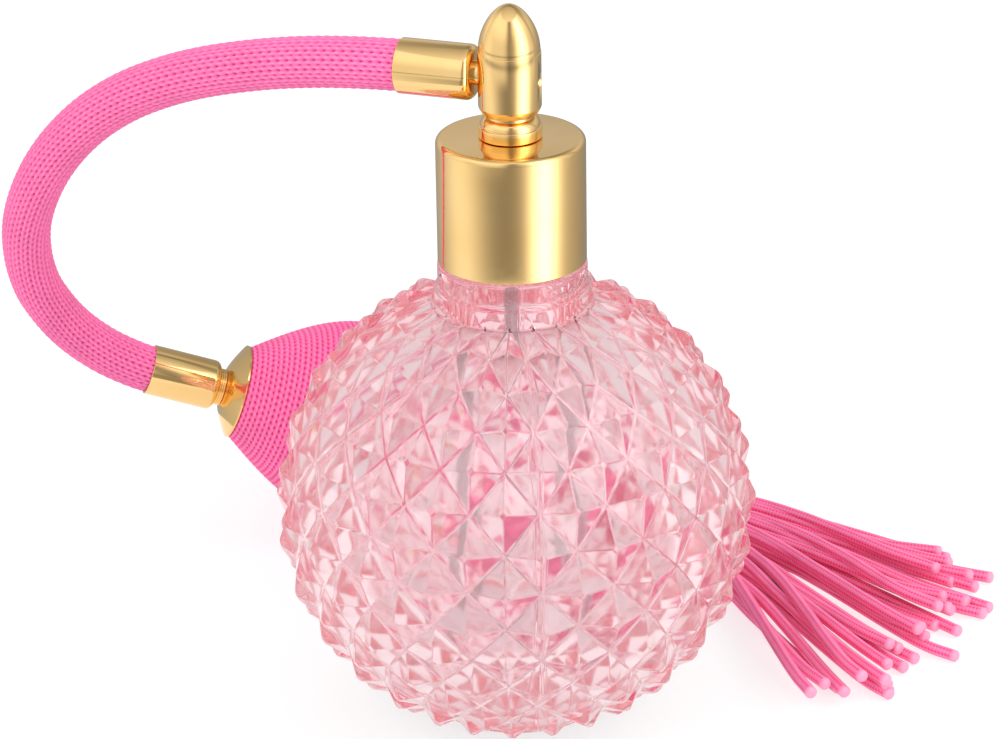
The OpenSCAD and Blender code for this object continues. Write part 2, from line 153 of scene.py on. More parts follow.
def lathe(name, outline, matrix=UPRIGHT, segments=128, sharp_deg=32):
    """A closed outline of (r, z) points turned about the local Z axis. Points at r = 0 close on it."""
    loop = [(max(r, 0.0), z) for r, z in outline]
    if sum(a[0] * b[1] - b[0] * a[1] for a, b in zip(loop, loop[1:] + loop[:1], strict=True)) < 0:
        loop.reverse()
    verts, rings = [], []
    for r, z in loop:
        if r < 1e-6:
            rings.append([len(verts)] * segments)
            verts.append((0, 0, z))
            continue
        rings.append(list(range(len(verts), len(verts) + segments)))
        angles = [2 * math.pi * k / segments for k in range(segments)]
        verts += [(r * math.cos(a), r * math.sin(a), z) for a in angles]
    faces = []
    for low, high in zip(rings, rings[1:] + rings[:1], strict=True):
        for k in range(segments):
            n = (k + 1) % segments
            corners = list(dict.fromkeys((low[k], low[n], high[n], high[k])))
            if len(corners) > 2:
                faces.append(corners)
    return new_object(name, verts, faces, matrix, sharp_deg=sharp_deg)


def paint(ob, name, values):
    """Stores one number per vertex as a float attribute that a material can read."""
    layer = ob.data.attributes.new(name, "FLOAT", "POINT")
    layer.data.foreach_set("value", np.asarray(values, np.float32).ravel())


def smooth_path(points, steps):
    """Catmull-Rom curve through the points, resampled to steps + 1 points of equal spacing."""
    p = np.asarray(points, float)
    p = np.vstack([2 * p[0] - p[1], p, 2 * p[-1] - p[-2]])
    t = np.linspace(0, 1, 24, endpoint=False)[:, None]
    curve = []
    for a, b, c, d in zip(p, p[1:], p[2:], p[3:], strict=False):
        curve.append(0.5 * (2 * b + (c - a) * t + (2 * a - 5 * b + 4 * c - d) * t**2
                            + (3 * b - a - 3 * c + d) * t**3))
    curve = np.vstack([*curve, p[-2]])
    run = np.r_[0, np.cumsum(np.linalg.norm(np.diff(curve, axis=0), axis=1))]
    even = np.linspace(0, run[-1], steps + 1)
    return np.stack([np.interp(even, run, curve[:, k]) for k in range(3)], 1)


def path_length(path):
    """Length of a line of points."""
    return float(np.linalg.norm(np.diff(path, axis=0), axis=1).sum())


def frames_along(path):
    """Unit tangents and two unit normals along a path, turned as little as possible from ring to ring."""
    tangent = np.gradient(path, axis=0)
    tangent /= np.linalg.norm(tangent, axis=1)[:, None]
    side = np.zeros_like(tangent)
    first = np.cross(tangent[0], (0.0, 0.0, 1.0))
    side[0] = first / np.linalg.norm(first)
    for i in range(1, len(path)):
        s = side[i - 1] - tangent[i] * side[i - 1].dot(tangent[i])
        side[i] = s / np.linalg.norm(s)
    return tangent, side, np.cross(tangent, side)


def rings_on(path, radius):
    """Points of a tube: radius holds the radius of each ring (row) at each place round it (column)."""
    _, side, across = frames_along(path)
    a = 2 * math.pi * np.arange(radius.shape[1]) / radius.shape[1]
    out = (np.cos(a)[None, :, None] * side[:, None, :]
           + np.sin(a)[None, :, None] * across[:, None, :])
    return path[:, None, :] + radius[:, :, None] * out


def capped_tube(name, path, radius):
    """A closed tube along a path, with a flat fan of faces at each end."""
    rows, columns = radius.shape
    verts = rings_on(path, radius).reshape(-1, 3)
    faces = grid_faces(rows, columns).tolist()
    start, end = len(verts), len(verts) + 1
    verts = np.vstack([verts, path[0], path[-1]])
    last = (rows - 1) * columns
    faces += [[start, (k + 1) % columns, k] for k in range(columns)]
    faces += [[end, last + k, last + (k + 1) % columns] for k in range(columns)]
    return new_object(name, verts, faces)


# ---- Materials ----


def tree_of(name):
    """A new material's node tree with its Principled shader."""
    mat = bpy.data.materials.new(name)
    mat.use_nodes = True
    tree = mat.node_tree
    return mat, tree, next(n for n in tree.nodes if n.type == "BSDF_PRINCIPLED")


def add(tree, kind, **values):
    """A node with its properties and, for names that are sockets, its input values set."""
    node = tree.nodes.new(kind)
    for key, value in values.items():
        if hasattr(node, key):
            setattr(node, key, value)
        else:
            node.inputs[key.replace("_", " ")].default_value = value
    return node


def rgb(r, g, b):
    """A colour given as sRGB 0 to 255, in the linear values that shaders use."""
    def linear(c):
        c /= 255
        return c / 12.92 if c <= 0.04045 else ((c + 0.055) / 1.055) ** 2.4
    return (linear(r), linear(g), linear(b), 1.0)


def ramp(tree, source, stops):
    """A colour ramp fed by a socket; stops are (position, colour)."""
    node = tree.nodes.new("ShaderNodeValToRGB")
    while len(node.color_ramp.elements) < len(stops):
        node.color_ramp.elements.new(0.5)
    for element, (position, colour) in zip(node.color_ramp.elements, stops, strict=True):
        element.position = position
        element.color = colour if hasattr(colour, "__len__") else (colour, colour, colour, 1)
    tree.links.new(source, node.inputs["Fac"])
    return node.outputs["Color"]


def noise(tree, scale, detail=3.0, stretch=None):
    """Noise in the object's own space, in features per metre."""
    place = tree.nodes.new("ShaderNodeTexCoord").outputs["Object"]
    if stretch:
        mapping = add(tree, "ShaderNodeMapping")
        mapping.inputs["Scale"].default_value = stretch
        tree.links.new(place, mapping.inputs["Vector"])
        place = mapping.outputs["Vector"]
    node = add(tree, "ShaderNodeTexNoise", Scale=scale, Detail=detail)
    tree.links.new(place, node.inputs["Vector"])
    return node.outputs["Fac"]


def bump(tree, shader, height, strength, distance):
    """Feeds a height into the shader's normal, over any bump that is already there."""
    node = add(tree, "ShaderNodeBump", Strength=strength, Distance=distance)
    if shader.inputs["Normal"].links:
        tree.links.new(shader.inputs["Normal"].links[0].from_socket, node.inputs["Normal"])
    tree.links.new(height, node.inputs["Height"])
    tree.links.new(node.outputs["Normal"], shader.inputs["Normal"])


def yarn(name, recess_shade, body, lit, fibre=5200.0, sheen=0.35):
    """Knitted yarn with fine fibres: painted shade between the stitches and a painted highlight on their
    crowns, both read from the stitch relief.
    """
    mat, tree, shader = tree_of(name)
    height = add(tree, "ShaderNodeAttribute", attribute_name="relief").outputs["Fac"]
    # Colour from the stitch relief: painted shade in the hollows, the yarn's own colour between, painted
    # highlight on the crowns
    colour = ramp(tree, height, [(0.0, recess_shade), (0.45, body), (1.0, lit)])
    mix = add(tree, "ShaderNodeMix", data_type="RGBA", blend_type="MULTIPLY")
    mix.inputs["Factor"].default_value = 1.0
    tree.links.new(colour, mix.inputs["A"])
    shades = ramp(tree, noise(tree, 160.0, 2.0), [(0.3, 0.9), (0.7, 1.0)])
    tree.links.new(shades, mix.inputs["B"])
    tree.links.new(mix.outputs["Result"], shader.inputs["Base Color"])
    rough = ramp(tree, noise(tree, 900.0), [(0.2, 0.62), (0.8, 0.82)])
    tree.links.new(rough, shader.inputs["Roughness"])
    shader.inputs["Sheen Weight"].default_value = sheen
    shader.inputs["Sheen Roughness"].default_value = 0.45
    shader.inputs["Sheen Tint"].default_value = lit
    shader.inputs["Specular IOR Level"].default_value = 0.3
    bump(tree, shader, noise(tree, fibre, 4.0), 0.5, 0.00012)
    return mat


def gold_plate():
    """Polished pale gold plate with a faint polishing haze."""
    mat, tree, shader = tree_of("gold_plate")
    shader.inputs["Metallic"].default_value = 1.0
    tint = ramp(tree, noise(tree, 90.0, 2.0), [(0.3, rgb(244, 203, 134)), (0.7, rgb(249, 211, 146))])
    tree.links.new(tint, shader.inputs["Base Color"])
    haze = ramp(tree, noise(tree, 700.0, 4.0), [(0.3, 0.08), (0.75, 0.13)])
    tree.links.new(haze, shader.inputs["Roughness"])
    bump(tree, shader, noise(tree, 420.0, 2.0), 0.05, 0.0001)
    return mat


# Added roughness of the hollow's wall, and half the width of the mould's seam in metres
INNER_HAZE = 0.13
SEAM_HALF_W = 0.00035


def pink_glass():
    """Clear pressed glass with a pale pink tint, a slightly wavy surface and the mould's seam line."""
    mat, tree, shader = tree_of("pink_glass")
    shader.inputs["Base Color"].default_value = (0.955, 0.85, 0.87, 1)
    shader.inputs["Transmission Weight"].default_value = 1.0
    shader.inputs["IOR"].default_value = 1.5
    polish = ramp(tree, noise(tree, 260.0), [(0.35, 0.0), (0.8, 0.04)])
    inside = add(tree, "ShaderNodeAttribute", attribute_name="inside")
    rough = add(tree, "ShaderNodeMath", operation="MULTIPLY_ADD")
    rough.inputs[1].default_value = INNER_HAZE
    tree.links.new(inside.outputs["Fac"], rough.inputs[0])
    tree.links.new(polish, rough.inputs[2])
    tree.links.new(rough.outputs[0], shader.inputs["Roughness"])
    bump(tree, shader, noise(tree, 260.0, 1.0), 0.1, 0.0008)
    # Distance from the upright plane through the seam
    split = add(tree, "ShaderNodeSeparateXYZ")
    tree.links.new(tree.nodes.new("ShaderNodeTexCoord").outputs["Object"], split.inputs[0])
    lon = math.radians(SEAM_LON)
    x = add(tree, "ShaderNodeMath", operation="MULTIPLY")
    x.inputs[1].default_value = math.cos(lon)
    y = add(tree, "ShaderNodeMath", operation="MULTIPLY_ADD")
    y.inputs[1].default_value = math.sin(lon)
    away = add(tree, "ShaderNodeMath", operation="ABSOLUTE")
    tree.links.new(split.outputs["X"], x.inputs[0])
    tree.links.new(split.outputs["Y"], y.inputs[0])
    tree.links.new(x.outputs[0], y.inputs[2])
    tree.links.new(y.outputs[0], away.inputs[0])
    seam = add(tree, "ShaderNodeMapRange", interpolation_type="SMOOTHSTEP")
    seam.inputs["From Min"].default_value = 0.0
    seam.inputs["From Max"].default_value = SEAM_HALF_W
    seam.inputs["To Min"].default_value = 1.0
    seam.inputs["To Max"].default_value = 0.0
    tree.links.new(away.outputs[0], seam.inputs["Value"])
    bump(tree, shader, seam.outputs["Result"], 0.8, 0.00015)
    tint = add(tree, "ShaderNodeVolumeAbsorption", Density=25.0)
    tint.inputs["Color"].default_value = (0.95, 0.5, 0.54, 1)
    tree.links.new(tint.outputs[0], tree.nodes["Material Output"].inputs["Volume"])
    return mat


def plastic(name, colour, roughness, transmission=0.0, ior=None):
    """Moulded plastic or rubber with a faint grain."""
    mat, tree, shader = tree_of(name)
    tone = [tuple(c * k for c in colour[:3]) + (1.0,) for k in (0.92, 1.0)]
    tint = ramp(tree, noise(tree, 300.0), [(0.3, tone[0]), (0.7, tone[1])])
    tree.links.new(tint, shader.inputs["Base Color"])
    grain = ramp(tree, noise(tree, 1500.0), [(0.3, roughness * 0.85), (0.7, roughness)])
    tree.links.new(grain, shader.inputs["Roughness"])
    shader.inputs["Transmission Weight"].default_value = transmission
    if ior is not None:
        shader.inputs["IOR"].default_value = ior
    bump(tree, shader, noise(tree, 2500.0), 0.15, 0.00005)
    return mat


GOLD = gold_plate()
GLASS = pink_glass()
# Each yarn: painted shade for the stitch hollows, its own colour, then the painted highlight for the
# crowns
HOSE_YARN = yarn("hose_yarn", rgb(200, 36, 104), rgb(250, 100, 164), rgb(255, 142, 194))
BULB_YARN = yarn("bulb_yarn", rgb(205, 26, 92), rgb(252, 84, 150), rgb(255, 140, 192))
CORD_YARN = yarn("cord_yarn", rgb(232, 46, 110), rgb(255, 96, 152), rgb(255, 150, 192), sheen=0.5)
THREAD = yarn("binding_thread", rgb(214, 44, 96), rgb(248, 84, 140), rgb(255, 136, 178))
CORD_END = plastic("cord_end", rgb(255, 160, 194), 0.35)
RUBBER = plastic("black_rubber", rgb(40, 36, 36), 0.6)
WHITE = plastic("white_plastic", rgb(240, 240, 238), 0.4, 0.35)
CLEAR = plastic("clear_plastic", rgb(252, 252, 252), 0.3, 0.85, ior=1.2)

# ---- Camera ----


def make_camera():
    """A long lens in front of the bottle, above it, tilted down."""
    data = bpy.data.cameras.new("camera")
    data.sensor_width = 36
    data.lens = 149.2
    data.clip_start = 0.02
    camera = bpy.data.objects.new("camera", data)
    tilt, pan, roll = 23.41, 0.21, -0.94
    turn = (Matrix.Rotation(math.radians(pan), 4, "Z")
            @ Matrix.Rotation(math.radians(90 - tilt), 4, "X")
            @ Matrix.Rotation(math.radians(roll), 4, "Z"))
    camera.matrix_world = Matrix.Translation((0, -0.592, 0.313)) @ turn
    bpy.context.scene.collection.objects.link(camera)
    bpy.context.scene.camera = camera


make_camera()

# ---- Knitted tubes ----


def knit(across, along_wale):
    """Relief of V stitches from 0 to 1: across counts the wales, along_wale the stitches in one."""
    x = np.abs(across % 1 - 0.5)
    leg = np.clip(1 - ((x - 0.25) / 0.26) ** 2, 0, 1)
    lap = np.abs((along_wale - 1.2 * x) % 1 - 0.5) * 2
    between = np.exp(-((x - 0.5) / 0.15) ** 2 - (((along_wale + 0.4) % 1 - 0.5) / 0.23) ** 2)
    middle = np.exp(-(x / 0.11) ** 2 - (((along_wale - 0.1) % 1 - 0.5) / 0.24) ** 2)
    return np.clip(0.7 + 0.3 * leg - 0.28 * lap**3 - 0.95 * between - 0.8 * middle, 0, 1)


def stitches(columns, rows, wales, per_row):
    """Knit relief on the grid of a tube, with the wales along it."""
    return knit(wales * np.arange(columns)[None, :] / columns, np.arange(rows)[:, None] / per_row)


def ease(x, low, high):
    """0 below low, 1 above high and a smooth step between."""
    t = np.clip((x - low) / (high - low), 0, 1)
    return t * t * (3 - 2 * t)


def make_hose():
    """The knitted sleeve, necked in where the two ferrules grip it."""
    wales, samples, row_len, per_row, depth = 16, 9, 1.5, 6, 0.5
    route = np.array(HOSE_ROUTE) / MM
    length = path_length(smooth_path(route, 400))
    rows = int(length / row_len * per_row)
    path = smooth_path(route, rows)
    run = np.linspace(0, length, rows + 1)
    held = FERRULE_START + FERRULE_H - math.hypot(*route[0][:2])
    held_end = FERRULE_END + FERRULE_H - math.dist(BULB_POS, route[-1])
    grown = ease(run, held - 0.3, held + 0.6) * ease(length - run, held_end - 0.3, held_end + 0.6)
    base = HELD_SLEEVE_R + (SLEEVE_R - HELD_SLEEVE_R) * grown
    relief = stitches(wales * samples, rows + 1, wales, per_row)
    sleeve = capped_tube("hose_sleeve_knit", path, base[:, None] - depth * (1 - relief))
    paint(sleeve, "relief", np.r_[relief.ravel(), 0, 0])
    sleeve.data.materials.append(HOSE_YARN)
    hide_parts("hose_sleeve")
    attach(sleeve, "head")


make_hose()

# ---- Tassel ----

CORD_R = 1.0
CORD_COUNT = 39
TASSEL_APEX = np.array([15.0, 60.0])
BINDING_END = 57.0
# Turn of the first cord and how much further the last one turns, where they lie down and at their tips
LYING_TURN, LYING_SPREAD = 8, 58
TIP_TURN, TIP_SPREAD = -16, 47
CROSSING_TURN = 8


def tassel_route(i, rng):
    """Route of one cord: out of the binding, down on the table and across the fan."""
    share = (i + 0.5) / CORD_COUNT
    layer, far_layer = (0, 2, 1, 3)[i % 4], (0, 1, 2, 1, 0, 2)[i % 6]
    reach = 61 + 19 * share**0.45 + rng.uniform(-7.0, 1.5)
    crossing = i % 8 == 3
    turn_here = LYING_TURN - LYING_SPREAD * share + rng.uniform(-2.0, 2.0)
    stray = rng.uniform(-2.5, 2.5) * math.sin(math.pi * share) ** 0.4
    turn_tip = TIP_TURN - TIP_SPREAD * share + stray - CROSSING_TURN * crossing
    wave, phase = rng.uniform(0.3, 1.2), rng.uniform(0, 6.28)
    held = (0.9 * (1.5 - layer), 2.2 * (1 - 2 * share))
    points = [tuple(BULB @ Vector((*held, z))) for z in (BINDING_END - 5, BINDING_END - 0.5)]
    points.append((9.5 + 1.2 * share, 71.3 - 4.2 * share, 4.2 + 1.0 * layer))
    stops = (7.0, 15.0, 24.0, 34.0, 45.0, reach - 9, reach)
    for d in stops:
        t = min(1.0, max(0.0, (d - 20) / (reach - 20)))
        angle = math.radians(turn_here + (turn_tip - turn_here) * math.sin(math.pi / 2 * t))
        sway = wave * math.sin(phase + d / 9) * t
        flat = TASSEL_APEX + d * np.array([math.cos(angle), math.sin(angle)])
        flat += sway * np.array([-math.sin(angle), math.cos(angle)])
        stacked = (1 - t) * 1.5 * layer + t * 1.35 * (3 if crossing else far_layer)
        points.append((*flat, CORD_R + 0.25 + stacked))
    return points


def make_tassel():
    """Separate knitted cords, squeezed together in the binding and fused at their cut ends."""
    rng = random.Random(7)
    wales, samples, row_len, per_row, depth = 6, 3, 0.62, 4, 0.16
    for i in range(CORD_COUNT):
        route = tassel_route(i, rng)
        length = path_length(smooth_path(route, 200))
        rows = int(length / row_len * per_row)
        path = smooth_path(route, rows)
        run = np.linspace(0, length, rows + 1)
        to_tip = length - run
        thin = 0.6 + 0.4 * ease(run, 5.0, 19.0)
        fused = 1 - ease(to_tip, 0.6, 1.3)
        relief = stitches(wales * samples, rows + 1, wales, per_row)
        relief += (1 - relief) * fused[:, None]
        tip_round = np.sqrt(1 - (1 - np.clip((to_tip + 0.15) / 0.6, 0, 1)) ** 2)
        radius = CORD_R * (thin * tip_round)[:, None] - depth * (1 - relief) * thin[:, None]
        cord = capped_tube(f"tassel_cord_{i + 1:02d}", path, radius)
        paint(cord, "relief", np.r_[relief.ravel(), 1, 1])
        cord.data.materials.append(CORD_YARN)
        cord.data.materials.append(CORD_END)
        columns = wales * samples
        index = np.zeros(len(cord.data.polygons), np.int32)
        index[int(rows * (1 - 0.55 / length)) * columns:rows * columns] = 1
        index[-columns:] = 1
        cord.data.polygons.foreach_set("material_index", index)
        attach(cord, "tail")
        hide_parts("tassel_cords")


make_tassel()

# ---- Glass bottle ----

FOOT_R = 14.2
TRUNCATION = 0.12
RIDGE_ROUND = 0.65
GROOVE_ROUND = 0.42
ARC_POINTS = 8
BENT = math.radians(4)
NECK_RING_R = 11.6
FINISH_R = 8.4
THREAD_Z = 79.0
THREAD_TURNS = 2.25
THREAD_H = 1.1


def ball_point(r, lat, lon):
    """Point at a latitude and a longitude, in degrees, counted from the front towards +X."""
    lat, lon = math.radians(lat), math.radians(lon)
    return Vector((r * math.cos(lat) * math.sin(lon), -r * math.cos(lat) * math.cos(lon),
                   BALL_Z + r * math.sin(lat)))


def stud_shell():
    """The studded band as a bmesh that is open at its top and bottom, with its edges rounded."""
    rng = random.Random(3)
    step = 360 / STUD_COLUMNS
    bm = bmesh.new()

    def place(r, k, j, amount):
        lat = STUD_TOP_LAT - STUD_ROW_STEP * k + rng.uniform(-amount, amount)
        lon = SEAM_LON + (j + (k % 2 - 1) / 2) * step + rng.uniform(-amount, amount)
        return ball_point(r, lat, lon)

    valleys = [[bm.verts.new(place(VALLEY_R, k, j, 0 if k in (0, STUD_ROWS) else 0.25))
                for j in range(STUD_COLUMNS)] for k in range(STUD_ROWS + 1)]
    for k in range(1, STUD_ROWS):
        for j in range(STUD_COLUMNS):
            beside = (j + k % 2) % STUD_COLUMNS
            corners = [valleys[k][j], valleys[k - 1][beside], valleys[k][(j + 1) % STUD_COLUMNS],
                       valleys[k + 1][beside]]
            apex = place(TIP_R + 0.12, k, j + 0.5, 0.3)
            flat = [bm.verts.new(apex.lerp(c.co, TRUNCATION)) for c in corners]
            bm.faces.new(flat)
            for a in range(4):
                b = (a + 1) % 4
                bm.faces.new([flat[a], corners[a], corners[b], flat[b]])
    for k, near in ((0, 1), (STUD_ROWS, STUD_ROWS - 1)):
        for j in range(STUD_COLUMNS):
            rim = [valleys[k][j]]
            rim += [bm.verts.new(place(VALLEY_R, k, j + i / ARC_POINTS, 0)) for i in range(1, ARC_POINTS)]
            rim.append(valleys[k][(j + 1) % STUD_COLUMNS])
            bm.faces.new([valleys[near][(j + k % 2) % STUD_COLUMNS], *rim])
    bmesh.ops.recalc_face_normals(bm, faces=bm.faces)
    for sign, offset in ((-1, GROOVE_ROUND), (1, RIDGE_ROUND)):
        bent = [e for e in bm.edges
                if not e.is_boundary and sign * e.calc_face_angle_signed() > BENT]
        bmesh.ops.bevel(bm, geom=bent, offset=offset, segments=3, profile=0.5, affect="EDGES",
                        clamp_overlap=True)
    return bm


def open_loops(bm):
    """The shell's upper and lower open edge, each as a loop of vertices in order round the axis."""
    rim = {v for e in bm.edges if e.is_boundary for v in e.verts}
    halves = [[v for v in rim if v.co.z > BALL_Z], [v for v in rim if v.co.z < BALL_Z]]
    return [sorted(half, key=lambda v: math.atan2(v.co.y, v.co.x)) for half in halves]


def turned_rings(bm, loop, outline, thread=False):
    """Rings from an ordered loop of vertices along (r, z) points, at the loop's own angles."""
    angles = [math.atan2(v.co.y, v.co.x) for v in loop]
    for r, z in outline:
        if r < 1e-6:
            pole = bm.verts.new((0, 0, z))
            for a, b in zip(loop, loop[1:] + loop[:1], strict=True):
                bm.faces.new([a, b, pole])
            return None
        ring = []
        for a in angles:
            out = r + thread_height(a, z) * thread
            ring.append(bm.verts.new((math.cos(a) * out, math.sin(a) * out, z)))
        for a, b, c, d in zip(loop, loop[1:] + loop[:1], ring[1:] + ring[:1], ring, strict=True):
            bm.faces.new([a, b, c, d])
        loop = ring
    return loop


def thread_height(angle, z):
    """How far the neck's screw thread stands out at an angle and a height."""
    turns = (z - THREAD_Z) / THREAD_PITCH
    turn = (angle / (2 * math.pi)) % 1
    nearest = turn + round(turns - turn)
    nearest = min(max(nearest, 0), THREAD_TURNS)
    if abs(nearest % 1 - turn) > 1e-6 and abs(nearest % 1 - turn) < 1 - 1e-6:
        return 0.0
    away = abs(turns - nearest) * THREAD_PITCH
    run_out = min(1.0, 8 * nearest, 8 * (THREAD_TURNS - nearest))
    return THREAD_H * run_out * float(1 - ease(away, 0.3, 0.75))


def neck_outline():
    """(r, z) points from the studs up the outside of the neck to its rim."""
    top = COLLAR_Z - 0.3
    cone = [(12.75, 68.25), (12.62, 68.7), (12.45, 69.5), (12.3, 70.2)]
    cove = arc((NECK_RING_R + 1.6, top - 3), 1.6, 230, 180, 8)
    corner = arc((NECK_RING_R - 0.5, top - 0.5), 0.5, 0, 90, 5)
    ring = [(NECK_RING_R, top - 1.5), *corner, (FINISH_R + 0.3, top)]
    return cone + cove + ring + [(FINISH_R, top + 0.3)]


def inside_outline():
    """(r, z) points from the neck's rim down its bore and round the hollow to the middle of its floor."""
    join = math.degrees(math.asin(NECK_BORE_R / CAVITY_R))
    hollow = [(CAVITY_R * math.sin(math.radians(a)), BALL_Z + CAVITY_R * math.cos(math.radians(a)))
              for a in np.linspace(join + 1.2, 180, 72)]
    bore_end = BALL_Z + CAVITY_R * math.cos(math.radians(join))
    bore = [(NECK_BORE_R, z) for z in np.linspace(NECK_TOP - 0.4, bore_end + 0.6, 12)]
    mouth = (NECK_BORE_R + 0.3, NECK_TOP)
    turn_in = (NECK_BORE_R + 0.15, bore_end + 0.1)
    return [mouth, *bore, turn_in, *hollow[:-1], (0, BALL_Z - CAVITY_R)]


def make_bottle():
    """One closed glass mesh: studs, neck with its thread, foot and the hollow inside."""
    bm = stud_shell()
    upper, lower = open_loops(bm)
    neck = turned_rings(bm, upper, neck_outline())
    heights = np.linspace(COLLAR_Z + 0.6, NECK_TOP - 0.6, 60)
    neck = turned_rings(bm, neck, [(FINISH_R, z) for z in heights], thread=True)
    rim = arc((FINISH_R - 0.5, NECK_TOP - 0.5), 0.5, 0, 90, 5)
    turned_rings(bm, neck, rim + inside_outline())
    foot = [(FOOT_R + 0.1, 1.3), (FOOT_R, 1.0), *arc((FOOT_R - 0.6, 0.6), 0.6, 0, -90, 6)]
    push_up = [(12.4, 0.0), (11.6, 0.25), (9.0, 0.7), (5.0, 0.95), (0, 1.0)]
    turned_rings(bm, lower, foot + push_up)
    bmesh.ops.recalc_face_normals(bm, faces=bm.faces)
    bmesh.ops.triangulate(bm, faces=[f for f in bm.faces if len(f.verts) > 4])
    mesh = bpy.data.meshes.new("bottle_glass")
    bm.to_mesh(mesh)
    bm.free()
    mesh.transform(Matrix.Scale(MM, 4))
    mesh.shade_smooth()
    flatten_facets(mesh)
    bottle = bpy.data.objects.new("bottle_glass", mesh)
    bpy.context.scene.collection.objects.link(bottle)
    bottle.data.materials.append(GLASS)
    from_middle = [math.hypot(v.co.x, v.co.y, v.co.z - BALL_Z * MM) / MM for v in mesh.vertices]
    paint(bottle, "inside", [float(r < CAVITY_R + 0.3) for r in from_middle])
    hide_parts("glass_bottle")
    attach(bottle, "bottle")


def flatten_facets(mesh):
    """Vertex normals weighted by the square of each face's area, so that big facets shade flat."""
    count, faces = len(mesh.vertices), len(mesh.polygons)
    area, normal = np.zeros(faces), np.zeros(faces * 3)
    mesh.polygons.foreach_get("area", area)
    mesh.polygons.foreach_get("normal", normal)
    sizes, corners = np.zeros(faces, np.int32), np.zeros(len(mesh.loops), np.int32)
    mesh.polygons.foreach_get("loop_total", sizes)
    mesh.loops.foreach_get("vertex_index", corners)
    owner = np.repeat(np.arange(faces), sizes)
    total = np.zeros((count, 3))
    np.add.at(total, corners, (normal.reshape(-1, 3) * (area**2)[:, None])[owner])
    total /= np.maximum(np.linalg.norm(total, axis=1), 1e-30)[:, None]
    mesh.normals_split_custom_set_from_vertices(total.tolist())


make_bottle()

# ---- Metal parts ----


def plated(ob, node, body):
    """Plates a piece, which stands for a CAD node."""
    ob.data.materials.append(GOLD)
    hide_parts(node)
    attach(ob, body)


def fitting(name, outline, node, body, matrix=UPRIGHT, segments=128):
    """A turned, plated piece that stands for a CAD node."""
    plated(lathe(name, outline, matrix, segments), node, body)


def make_collar():
    """The plated shell over the screw cap's liner."""
    wall, hole = 0.6, 3.25
    corner = arc((COLLAR_R - 0.9, COLLAR_TOP - 0.9), 0.9, 0, 90, 12)
    inner = [(hole + 0.15, COLLAR_TOP), (hole, COLLAR_TOP - 0.15), (hole, COLLAR_TOP - wall),
             (COLLAR_R - wall, COLLAR_TOP - wall), (COLLAR_R - wall, COLLAR_Z)]
    lip = arc((COLLAR_R - 0.15, COLLAR_Z + 0.15), 0.15, -90, 0, 4)
    fitting("collar_shell_plated", inner + lip + corner, "collar_shell", "collar", segments=192)


def make_pedestal():
    """Ringed foot of the spray head, with its guide through the collar and the swivel spigot."""
    z = COLLAR_TOP + 0.1
    drum_top = z + 1.8
    drum_r = 4.9
    shoulder = arc((drum_r - 1.75, drum_top), 1.5, 0, 60, 14)
    lower_edge = arc((drum_r - 0.2, z + 0.2), 0.2, -90, 0, 4)
    upper_edge = arc((drum_r - 0.2, drum_top - 0.2), 0.2, 0, 90, 4)
    outline = [(0, 90), (2.6, 90), (2.6, 93.2), (3.2, 93.2), (3.2, z),
               *lower_edge, *upper_edge, *shoulder, (3.6, drum_top + 1.4), (3.6, BARREL_Z - 0.1),
               (2.2, BARREL_Z - 0.1), (2.2, 102.6), (0, 102.6)]
    fitting("pedestal_plated", outline, "head_pedestal", "stem")


def bored(ob, cutter):
    """Cuts a cutter's shape out of a mesh and removes the cutter."""
    modifier = ob.modifiers.new("bore", "BOOLEAN")
    modifier.object = cutter
    modifier.operation = "DIFFERENCE"
    modifier.solver = "EXACT"
    bpy.context.view_layer.update()
    depsgraph = bpy.context.evaluated_depsgraph_get()
    done = bpy.data.meshes.new_from_object(ob.evaluated_get(depsgraph))
    ob.modifiers.clear()
    ob.data = done
    bpy.data.objects.remove(cutter)


def make_head():
    """Barrel with its nozzle hole, pointed finial, nozzle insert and the barb behind the hose.

    The visible barrel is solid inside: the spigot and the jet tube pass through it, out of sight."""
    edge, edge_h = 0.6, 1.1
    outline = [(0, BARREL_Z), (BARREL_R - edge, BARREL_Z), (BARREL_R - 0.08, BARREL_Z + edge_h - 0.15),
               (BARREL_R, BARREL_Z + edge_h + 0.15),
               *arc((BARREL_R - 0.12, BARREL_TOP - 0.12), 0.12, 0, 90, 4), (0, BARREL_TOP)]
    barrel = lathe("head_barrel_plated", outline)
    bored(barrel, lathe("nozzle_bore", [(0, 3.9), (0.81, 3.9), (0.81, 6), (0, 6)], NOZZLE, 64))
    plated(barrel, "head_barrel", "head")
    base = BARREL_R - 0.1
    nose = [(base * math.sin(math.pi / 2 * u) ** 0.52, BARREL_TOP + FINIAL_H * (1 - u))
            for u in (np.arange(1, 41) / 40) ** 1.9]
    socket = [(2.5, BARREL_TOP + 0.001), (2.5, BARREL_TOP - 1.6), (0, BARREL_TOP - 1.6)]
    fitting("finial_plated", [(0, BARREL_TOP + FINIAL_H), *nose, *socket], "head_finial", "head")
    tip = [(0.25, 2.2), (0.8, 2.2), *arc((0.7, 4.45), 0.1, 0, 90, 3), (0.45, 4.55), (0.25, 4.35)]
    fitting("nozzle_plated", tip, "nozzle_insert", "head", NOZZLE, 64)
    f = FERRULE_START
    barb = [(1, 2.6), (1.9, 2.6), (1.9, f + 0.6), (2.6, f + 0.6), (2.6, f + 1.2), (1.9, f + 2.4),
            (1.9, 11), (1.6, 11), (1.9, 11.4), (1.9, 13.4), (1.5, 14.4), (1, 14.4)]
    fitting("inlet_barb_plated", barb, "inlet_barb", "head", INLET, 64)


def ferrule_outline():
    """(r, z) points of a ferrule, closed and rounded at z = 0 and open at its mouth."""
    bore = FERRULE_R - 0.35
    shoulder = arc((FERRULE_R - 1.2, 1.2), 1.2, -90, 0, 12)
    mouth = [*arc((FERRULE_R - 0.12, FERRULE_H - 0.12), 0.12, 0, 90, 4), (bore, FERRULE_H)]
    return [(1.9, 0), *shoulder, *mouth, (bore, 0.6), (1.9, 0.6)]


